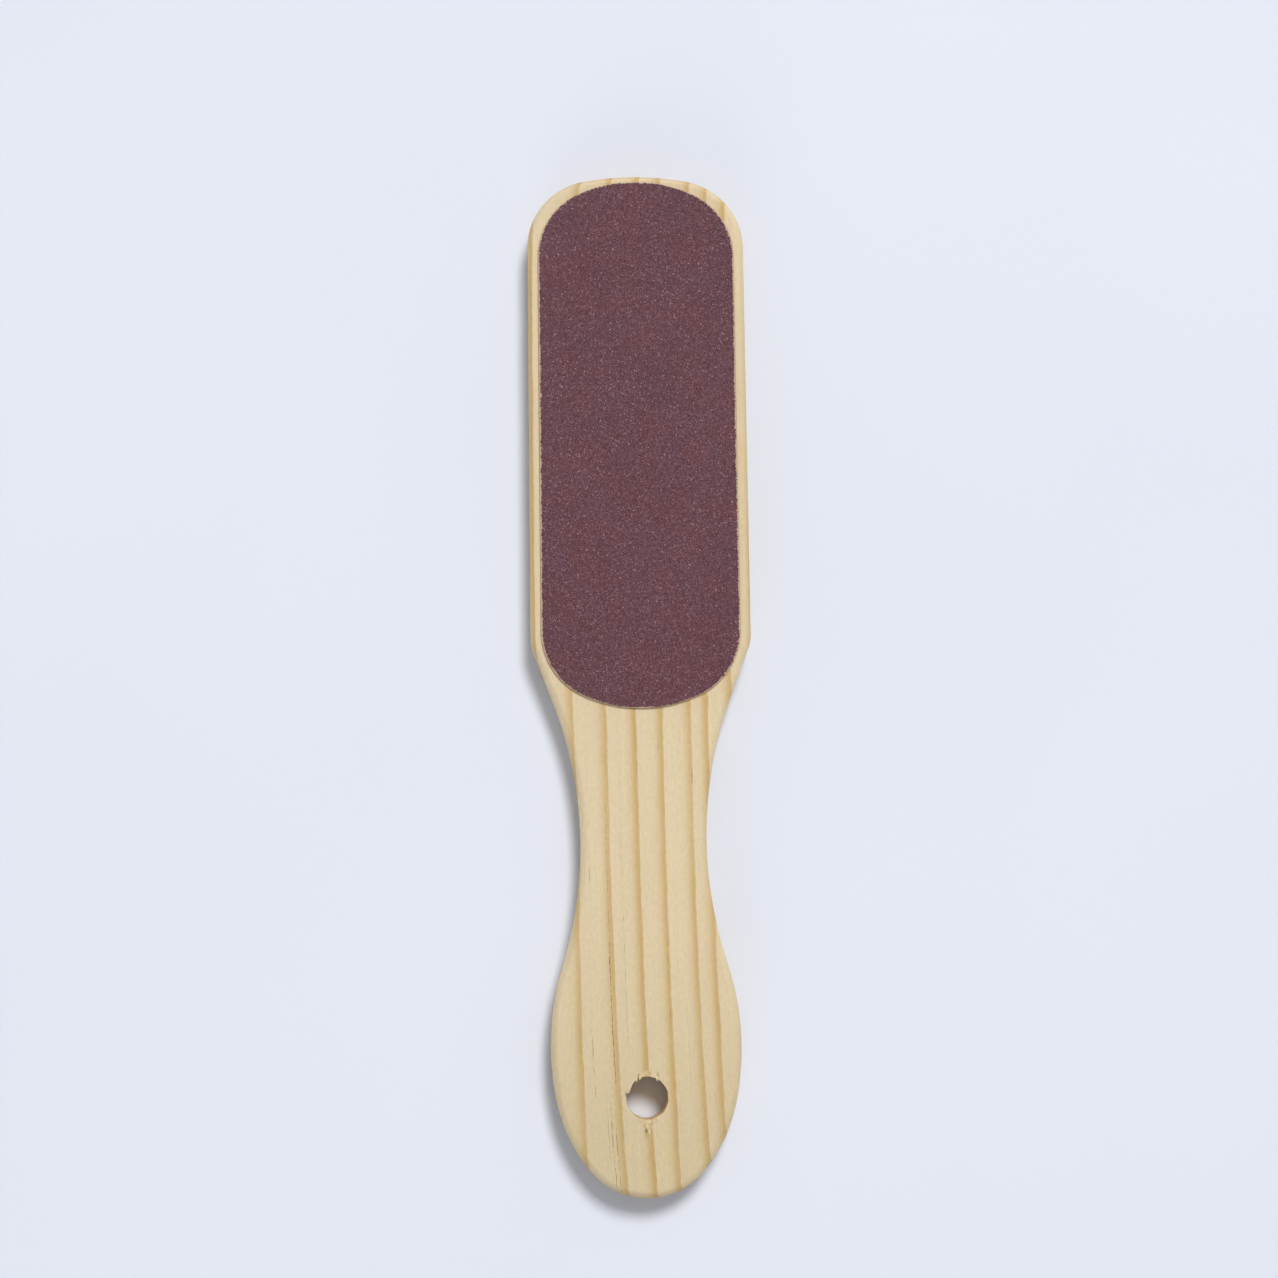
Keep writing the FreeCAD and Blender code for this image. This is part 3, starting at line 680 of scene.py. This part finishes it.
class Nodes:
    """A small hand for writing node trees."""

    def __init__(self, name):
        self.mat = bpy.data.materials.new(name)
        self.mat.use_nodes = True
        self.tree = self.mat.node_tree
        self.tree.nodes.clear()
        self.out = self.add("ShaderNodeOutputMaterial")
        self.bsdf = self.add("ShaderNodeBsdfPrincipled")
        self.link(self.bsdf.outputs[0], self.out.inputs[0])

    def add(self, kind, **props):
        node = self.tree.nodes.new(kind)
        for key, value in props.items():
            setattr(node, key, value)
        return node

    def link(self, a, b):
        self.tree.links.new(a, b)

    def put(self, socket, value):
        if isinstance(value, bpy.types.NodeSocket):
            self.link(value, socket)
        else:
            socket.default_value = value

    def math(self, op, a, b=None, c=None, clamp=False):
        node = self.add("ShaderNodeMath", operation=op, use_clamp=clamp)
        for socket, value in zip(node.inputs, (a, b, c)):
            if value is not None:
                self.put(socket, value)
        return node.outputs[0]

    def attribute(self, name):
        return self.add("ShaderNodeAttribute", attribute_type="GEOMETRY", attribute_name=name).outputs["Fac"]

    def coords(self, scale):
        where = self.add("ShaderNodeTexCoord").outputs["Object"]
        mapping = self.add("ShaderNodeMapping")
        mapping.inputs["Scale"].default_value = scale
        self.link(where, mapping.inputs["Vector"])
        return mapping.outputs[0]

    def noise(self, vector, scale=1.0, detail=2.0, rough=0.5):
        node = self.add("ShaderNodeTexNoise", noise_dimensions="3D")
        self.link(vector, node.inputs["Vector"])
        node.inputs["Scale"].default_value = scale
        node.inputs["Detail"].default_value = detail
        node.inputs["Roughness"].default_value = rough
        return node.outputs["Fac"]

    def spread(self, value, a, b, c, d, smooth=False):
        node = self.add("ShaderNodeMapRange", clamp=True)
        if smooth:
            node.interpolation_type = "SMOOTHSTEP"
        self.put(node.inputs["Value"], value)
        for key, v in zip(("From Min", "From Max", "To Min", "To Max"), (a, b, c, d)):
            node.inputs[key].default_value = v
        return node.outputs[0]

    def ramp(self, value, stops, mode="LINEAR"):
        node = self.add("ShaderNodeValToRGB")
        node.color_ramp.interpolation = mode
        el = node.color_ramp.elements
        while len(el) < len(stops):
            el.new(0.5)
        for e, (pos, col) in zip(el, stops):
            e.position = pos
            e.color = col
        self.put(node.inputs["Fac"], value)
        return node.outputs["Color"]

    def mix(self, factor, a, b, mode="MIX"):
        node = self.add("ShaderNodeMix", data_type="RGBA", blend_type=mode, clamp_factor=True)
        self.put(node.inputs[0], factor)
        self.put(node.inputs[6], a)
        self.put(node.inputs[7], b)
        return node.outputs[2]

    def grey(self, value):
        node = self.add("ShaderNodeCombineColor")
        for i in range(3):
            self.put(node.inputs[i], value)
        return node.outputs[0]

    def bump(self, height, strength, distance):
        node = self.add("ShaderNodeBump")
        node.inputs["Strength"].default_value = strength
        node.inputs["Distance"].default_value = distance
        self.put(node.inputs["Height"], height)
        self.link(node.outputs[0], self.bsdf.inputs["Normal"])
        return node


def pine_material():
    n = Nodes("pine_bare")
    ring, width = n.attribute("ring"), n.attribute("year_width")
    torn, pit_shade = n.attribute("torn"), n.attribute("pit_shade")
    # band edges follow the fibres
    jag = n.noise(n.coords((3200, 420, 3200)), 1.0, 3.0, 0.6)
    flame = n.noise(n.coords((2600, 26, 2600)), 1.0, 3.0, 0.6)
    drift = n.noise(n.coords((300, 70, 300)), 1.0, 2.0, 0.5)
    geo = n.add("ShaderNodeNewGeometry")
    part = n.add("ShaderNodeSeparateXYZ")
    n.link(geo.outputs["True Normal"], part.inputs[0])
    flank = n.spread(n.math("ABSOLUTE", part.outputs["X"]), 0.35, 0.85, 0.0, 1.0, True)
    tear = n.math("MULTIPLY_ADD", n.math("SUBTRACT", jag, 0.5), n.spread(flank, 0.0, 1.0, 0.55, 0.05),
                  n.math("MULTIPLY", n.math("SUBTRACT", flame, 0.5), n.spread(flank, 0.0, 1.0, 0.0, 0.40)))
    wob = n.math("ADD", tear, n.math("MULTIPLY", n.math("SUBTRACT", drift, 0.5), n.spread(flank, 0.0, 1.0, 0.25, 0.10)))
    r = n.math("ADD", ring, n.math("DIVIDE", wob, width))
    t = n.math("FRACT", r)
    left = n.math("MULTIPLY", n.math("SUBTRACT", 1.0, t), width)
    # colour against the distance to the line, 4 mm wide
    early = linear(221, 203, 169)
    stops = ((0.0, (213, 188, 143)), (0.03, (203, 171, 116)), (0.14, (199, 166, 111)), (0.25, (205, 176, 124)), (0.375, (211, 188, 145)),
             (0.50, (217, 196, 157)), (0.64, (219, 200, 164)), (0.85, (221, 203, 169)), (1.0, (221, 203, 169)))
    wood = n.ramp(n.math("DIVIDE", left, 4.0), [(p, linear(*c)) for p, c in stops])
    # late bands differ from year to year and along their length
    year = n.add("ShaderNodeTexWhiteNoise", noise_dimensions="1D")
    n.link(n.math("FLOOR", r), year.inputs["W"])
    along = n.noise(n.coords((150, 45, 150)), 1.0, 2.0, 0.6)
    faint = n.math("MULTIPLY_ADD", n.spread(along, 0.3, 0.7, 0.0, 0.22), 1.0, n.spread(year.outputs["Value"], 0, 1, 0.0, 0.10))
    wood = n.mix(faint, wood, early)
    hue = n.noise(n.coords((420, 110, 420)), 1.0, 2.0, 0.6)
    wood = n.mix(0.55, wood, n.ramp(hue, [(0.32, linear(253, 253, 243)), (0.5, linear(255, 253, 252)), (0.68, linear(255, 249, 249))]), "MULTIPLY")
    # short fibres and a dry mottle
    streak = n.noise(n.coords((900, 16, 900)), 1.0, 3.0, 0.55)
    fibre = n.noise(n.coords((5200, 320, 5200)), 1.0, 3.0, 0.6)
    mottle = n.noise(n.coords((1500, 800, 1500)), 1.0, 3.0, 0.65)
    cloud = n.noise(n.coords((60, 30, 60)), 1.0, 2.0, 0.5)
    tone = n.math("ADD", n.spread(streak, 0.25, 0.75, 0.972, 1.022), n.spread(fibre, 0.2, 0.8, -0.06, 0.05))
    tone = n.math("ADD", tone, n.spread(mottle, 0.25, 0.75, -0.065, 0.055))
    tone = n.math("ADD", tone, n.spread(cloud, 0.3, 0.7, -0.02, 0.015))
    # cut along a year the fibres show as long fine streaks
    long = n.noise(n.coords((2100, 24, 2100)), 1.0, 4.0, 0.65)
    tone = n.math("ADD", tone, n.math("MULTIPLY", flank, n.spread(long, 0.3, 0.7, -0.075, 0.055)))
    wood = n.mix(1.0, wood, n.grey(tone), "MULTIPLY")
    # resin canals: short dark dashes along the grain, crowded on a few lines
    place = n.add("ShaderNodeSeparateXYZ")
    n.link(n.add("ShaderNodeTexCoord").outputs["Object"], place.inputs[0])
    cells = n.add("ShaderNodeTexVoronoi", voronoi_dimensions="3D", feature="F1")
    n.link(n.coords((330, 26, 330)), cells.inputs["Vector"])
    cells.inputs["Scale"].default_value = 1.0
    dash = n.spread(cells.outputs["Distance"], 0.03, 0.075, 1.0, 0.0)
    small = n.add("ShaderNodeTexVoronoi", voronoi_dimensions="3D", feature="F1")
    n.link(n.coords((560, 42, 560)), small.inputs["Vector"])
    small.inputs["Scale"].default_value = 1.0
    dash = n.math("MAXIMUM", dash, n.math("MULTIPLY", flank, n.spread(small.outputs["Distance"], 0.045, 0.10, 0.75, 0.0)))
    broken = n.noise(n.coords((120, 300, 120)), 1.0, 4.0, 0.72)
    dots = n.noise(n.coords((1100, 900, 1100)), 1.0, 2.0, 0.6)
    rows = beside = None
    # distance left of a line number (ring, mm), half width, strength, from y, to y
    for line, off, half, strength, y0, y1 in ((4, 1.15, 0.105, 1.0, -0.099, -0.066), (4, 0.95, 0.060, 0.60, -0.068, -0.030),
                                              (5, 4.55, 0.055, 0.50, -0.092, -0.040), (4, 6.1, 0.070, 0.85, -0.102, -0.087),
                                              (4, 2.75, 0.080, 0.90, -0.124, -0.103), (4, 1.75, 0.075, 0.85, -0.124, -0.108),
                                              (4, 3.6, 0.060, 0.60, -0.118, -0.105), (6, 0.5, 0.055, 0.40, -0.085, -0.060),
                                              (7, 3.4, 0.045, 0.30, -0.100, -0.080)):
        gap = n.math("MULTIPLY", n.math("SUBTRACT", float(line), n.math("MULTIPLY_ADD", n.math("SUBTRACT", jag, 0.5), 0.03, ring)), width)
        near = n.spread(n.math("ABSOLUTE", n.math("SUBTRACT", gap, off)), half * 0.4, half * 1.25, strength, 0.0)
        span = n.math("MULTIPLY", n.spread(place.outputs["Y"], y0 - 0.003, y0 + 0.003, 0.0, 1.0), n.spread(place.outputs["Y"], y1 - 0.003, y1 + 0.003, 1.0, 0.0))
        near = n.math("MULTIPLY", near, span)
        rows = near if rows is None else n.math("MAXIMUM", rows, near)
        wide = n.spread(n.math("ABSOLUTE", n.math("SUBTRACT", gap, off)), half * 1.5, half * 4.0, strength, 0.0)
        wide = n.math("MULTIPLY", wide, span)
        beside = wide if beside is None else n.math("MAXIMUM", beside, wide)
    rows = n.math("MULTIPLY", rows, n.spread(broken, 0.38, 0.50, 0.06, 1.25))
    rows = n.math("MULTIPLY", rows, n.spread(dots, 0.40, 0.51, 0.15, 1.0), clamp=True)
    fleck = n.noise(n.coords((2300, 1100, 2300)), 1.0, 2.0, 0.6)
    wood = n.mix(n.math("MULTIPLY", beside, n.spread(fleck, 0.55, 0.66, 0.0, 0.55)), wood, linear(238, 214, 156))
    canal = n.math("MAXIMUM", n.math("MULTIPLY", dash, 0.55), rows)
    wood = n.mix(n.math("MULTIPLY", canal, 0.82), wood, linear(128, 86, 34))
    # painted shade: the colour grows a little darker and yellower towards the grip end, standing in for the key light
    # falling off along the file
    painted_falloff = n.spread(place.outputs["Y"], -0.122, -0.050, 1.0, 0.0, True)
    wood = n.mix(painted_falloff, wood, linear(240, 240, 235), "MULTIPLY")
    # end grain drinks more and looks darker
    endgrain = n.spread(n.math("ABSOLUTE", part.outputs["Y"]), 0.45, 0.95, 0.0, 1.0, True)
    pore = n.noise(n.coords((3300, 300, 3300)), 1.0, 2.0, 0.65)
    dark = n.mix(n.spread(pore, 0.35, 0.65, 0.65, 0.2), wood, linear(190, 152, 104), "MULTIPLY")
    wood = n.mix(n.math("MULTIPLY", endgrain, 0.75), wood, dark)
    # crushed and torn fibres around the hole: paler, with painted shade in the pits
    fresh = n.ramp(n.noise(n.coords((2600, 1300, 2600)), 1.0, 2.0, 0.7), [(0.3, linear(200, 172, 126)), (0.5, linear(220, 198, 156)), (0.68, linear(238, 222, 184))])
    wood = n.mix(n.math("MULTIPLY", torn, n.spread(jag, 0.3, 0.6, 0.55, 0.95)), wood, fresh)
    # painted shade inside the chipped pits
    wood = n.mix(n.math("MULTIPLY", pit_shade, n.spread(mottle, 0.3, 0.6, 0.65, 1.0)), wood, linear(116, 84, 44))
    drilled = n.ramp(n.noise(n.coords((1400, 1400, 500)), 1.0, 3.0, 0.65), [(0.3, linear(204, 170, 120)), (0.55, linear(224, 194, 146)), (0.75, linear(238, 214, 170))])
    wood = n.mix(n.math("MULTIPLY", n.attribute("bore"), 0.85), wood, drilled)
    n.link(wood, n.bsdf.inputs["Base Color"])
    n.link(n.math("ADD", n.spread(fibre, 0.2, 0.8, 0.72, 0.86), n.spread(left, 0.4, 2.0, -0.06, 0.0)), n.bsdf.inputs["Roughness"])
    n.bsdf.inputs["Specular IOR Level"].default_value = 0.22
    height = n.math("MULTIPLY_ADD", fibre, 0.5, n.math("MULTIPLY", mottle, 0.7))
    height = n.math("SUBTRACT", height, n.math("MULTIPLY", canal, 0.9))
    n.bump(height, 0.5, 0.00012)
    return n.mat


def grit_material(name, stops, seed):
    n = Nodes(name)
    grain = n.attribute("grain")
    height = n.attribute("height")
    col = n.ramp(grain, stops)
    cloud = n.noise(n.coords((70 + seed, 55, 70)), 1.0, 3.0, 0.6)
    tint = n.noise(n.coords((150, 130 + seed, 150)), 1.0, 2.0, 0.5)
    speck = n.noise(n.coords((6200, 6200, 6200)), 1.0, 2.0, 0.6)
    # painted shade and highlight: valleys between the grains darker, grain tops lighter
    tone = n.math("MULTIPLY", n.spread(cloud, 0.3, 0.7, 0.96, 1.04), n.spread(height, 0.0, 0.8, 0.90, 1.10))
    tone = n.math("MULTIPLY", tone, n.spread(speck, 0.25, 0.75, 0.86, 1.14))
    col = n.mix(1.0, col, n.grey(tone), "MULTIPLY")
    col = n.mix(0.75, col, n.ramp(tint, [(0.35, linear(255, 244, 240)), (0.65, linear(244, 246, 255))]), "MULTIPLY")
    n.link(col, n.bsdf.inputs["Base Color"])
    n.link(n.spread(grain, 0.86, 1.0, 0.72, 0.38), n.bsdf.inputs["Roughness"])
    n.bsdf.inputs["Specular IOR Level"].default_value = 0.2
    n.bump(speck, 0.3, 0.00005)
    return n.mat


def cloth_material():
    n = Nodes("backing_weave")
    warp = n.add("ShaderNodeTexWave", wave_type="BANDS", bands_direction="X")
    weft = n.add("ShaderNodeTexWave", wave_type="BANDS", bands_direction="Y")
    flat = n.coords((1.0, 1.0, 1.0))
    for w in (warp, weft):
        n.link(flat, w.inputs["Vector"])
        w.inputs["Scale"].default_value = 620.0
        w.inputs["Distortion"].default_value = 0.6
    weave = n.math("MAXIMUM", warp.outputs["Fac"], weft.outputs["Fac"])
    fuzz = n.noise(n.coords((4200, 4200, 4200)), 1.0, 3.0, 0.6)
    col = n.ramp(n.math("MULTIPLY_ADD", fuzz, 0.6, n.math("MULTIPLY", weave, 0.4)),
                 [(0.15, linear(156, 129, 109)), (0.5, linear(188, 161, 137)), (0.85, linear(210, 187, 163))])
    n.link(col, n.bsdf.inputs["Base Color"])
    n.link(n.spread(fuzz, 0.2, 0.8, 0.75, 0.95), n.bsdf.inputs["Roughness"])
    n.bsdf.inputs["Specular IOR Level"].default_value = 0.2
    n.bump(n.math("ADD", weave, fuzz), 0.5, 0.00008)
    return n.mat


def glue_material():
    n = Nodes("adhesive_amber")
    blot = n.noise(n.coords((260, 260, 260)), 1.0, 3.0, 0.55)
    fine = n.noise(n.coords((2500, 2500, 2500)), 1.0, 2.0, 0.5)
    col = n.ramp(n.math("MULTIPLY_ADD", fine, 0.3, n.math("MULTIPLY", blot, 0.7)),
                 [(0.25, linear(160, 128, 94)), (0.55, linear(190, 159, 121)), (0.8, linear(210, 182, 144))])
    n.link(col, n.bsdf.inputs["Base Color"])
    n.link(n.spread(blot, 0.3, 0.7, 0.28, 0.5), n.bsdf.inputs["Roughness"])
    n.bump(fine, 0.25, 0.00004)
    return n.mat


def floor_material():
    n = Nodes("pale_floor")
    soft = n.noise(n.coords((6, 6, 6)), 1.0, 2.0, 0.5)
    n.link(n.ramp(soft, [(0.3, linear(224, 228, 239)), (0.7, linear(227, 231, 241))]), n.bsdf.inputs["Base Color"])
    n.bsdf.inputs["Roughness"].default_value = 0.9
    n.bsdf.inputs["Specular IOR Level"].default_value = 0.0
    return n.mat


# ------------------------------------------------------------------- the object
paddle = build_paddle()
front_glue = layer_piece("front_adhesive", "front_glue_film", 61, 0.06, 0.0, 0.05)
front_cloth = layer_piece("front_carrier", "front_backing_cloth", 62, 0.03, 0.05, 0.0)
front_grit = grit_piece("front_grit", "front_grit_coat", True, 0.285, 0.20, 0.35, 101, 1100)
back_glue = layer_piece("back_adhesive", "back_glue_film", 71, 0.06, 0.0, 0.05)
back_cloth = layer_piece("back_carrier", "back_backing_cloth", 72, 0.03, 0.05, 0.0)
back_grit = grit_piece("back_grit", "back_grit_coat", False, 0.285, 0.26, 0.35, 201, 900)

# the palest stops are partly pale grains, partly painted glints on the few faces and edge grains that reach them
COARSE = [(0.0, linear(83, 50, 57)), (0.45, linear(99, 64, 71)), (0.86, linear(115, 80, 88)), (0.95, linear(130, 95, 103)), (0.99, linear(148, 114, 121)), (1.0, linear(184, 158, 163))]
FINE = [(0.0, linear(94, 60, 66)), (0.45, linear(101, 66, 73)), (0.92, linear(109, 75, 81)), (0.98, linear(122, 90, 95)), (1.0, linear(154, 126, 128))]
paddle.data.materials.append(pine_material())
front_grit.data.materials.append(grit_material("grit_coarse", COARSE, 0))
back_grit.data.materials.append(grit_material("grit_fine", FINE, 9))
weave, amber = cloth_material(), glue_material()
for piece in (front_cloth, back_cloth):
    piece.data.materials.append(weave)
for piece in (front_glue, back_glue):
    piece.data.materials.append(amber)

# ------------------------------------------------------------- floor and lights
floor_mesh = bpy.data.meshes.new("floor")
floor_mesh.from_pydata([(-60, -60, -0.00015), (60, -60, -0.00015), (60, 60, -0.00015), (-60, 60, -0.00015)], [], [(0, 1, 2, 3)])
floor = bpy.data.objects.new("floor", floor_mesh)
bpy.context.scene.collection.objects.link(floor)
floor.data.materials.append(floor_material())

# a pale studio with soft light from all sides
world = bpy.data.worlds.new("studio")
world.use_nodes = True
sky = world.node_tree
where = sky.nodes.new("ShaderNodeTexCoord")
split = sky.nodes.new("ShaderNodeSeparateXYZ")
shade = sky.nodes.new("ShaderNodeValToRGB")
sky.links.new(where.outputs["Generated"], split.inputs[0])
sky.links.new(split.outputs["Z"], shade.inputs["Fac"])
stops = shade.color_ramp.elements
while len(stops) < 4:
    stops.new(0.5)
for stop, (z, colour) in zip(stops, ((0.0, (0.742, 0.773, 0.856)), (0.12, (0.630, 0.653, 0.708)),
                                     (0.45, (0.395, 0.406, 0.425)), (1.0, (0.280, 0.288, 0.301)))):
    stop.position = z
    stop.color = (*colour, 1.0)
sky.links.new(shade.outputs["Color"], sky.nodes["Background"].inputs["Color"])
bpy.context.scene.world = world


def aimed(name, data, place):
    obj = bpy.data.objects.new(name, data)
    bpy.context.scene.collection.objects.link(obj)
    obj.location = place
    obj.rotation_mode = "QUATERNION"
    obj.rotation_quaternion = (-Vector(place)).to_track_quat("-Z", "Y")
    return obj


# one soft key from above the head: a broad even part and a near part that falls off towards the handle
even = bpy.data.lights.new("key_even", "SUN")
even.energy = 2.12
even.angle = math.radians(18)
even.color = (1.0, 0.985, 0.96)
aimed("key_even", even, (0.180, 0.515, 0.815))
near = bpy.data.lights.new("key_near", "AREA")
near.shape = "RECTANGLE"
near.size, near.size_y = 0.15, 0.13
near.energy = 0.3
near.color = (1.0, 0.985, 0.96)
aimed("key_near", near, (0.130, 0.330, 0.560))
# low fill from the grip end, so that the rims turned away from the key stay pale
fill = bpy.data.lights.new("fill_low", "SUN")
fill.energy = 0.85
fill.angle = math.radians(34)
fill.color = (1.0, 0.985, 0.965)
aimed("fill_low", fill, (-0.16, -0.62, 0.13))

# ----------------------------------------------------------------------- camera
camera = bpy.data.cameras.new("camera")
camera.sensor_width = 36.0
camera.lens = 36.0 * 2400.0 / 1278.0
camera.clip_start = 0.01
cam = bpy.data.objects.new("camera", camera)
bpy.context.scene.collection.objects.link(cam)
cam.location = (-0.02831, -0.06723, 0.58774)
cam.rotation_euler = Euler((0.13039, -0.04625, -0.01355), "XYZ")
bpy.context.scene.camera = cam
bpy.context.scene.view_settings.view_transform = "Standard"
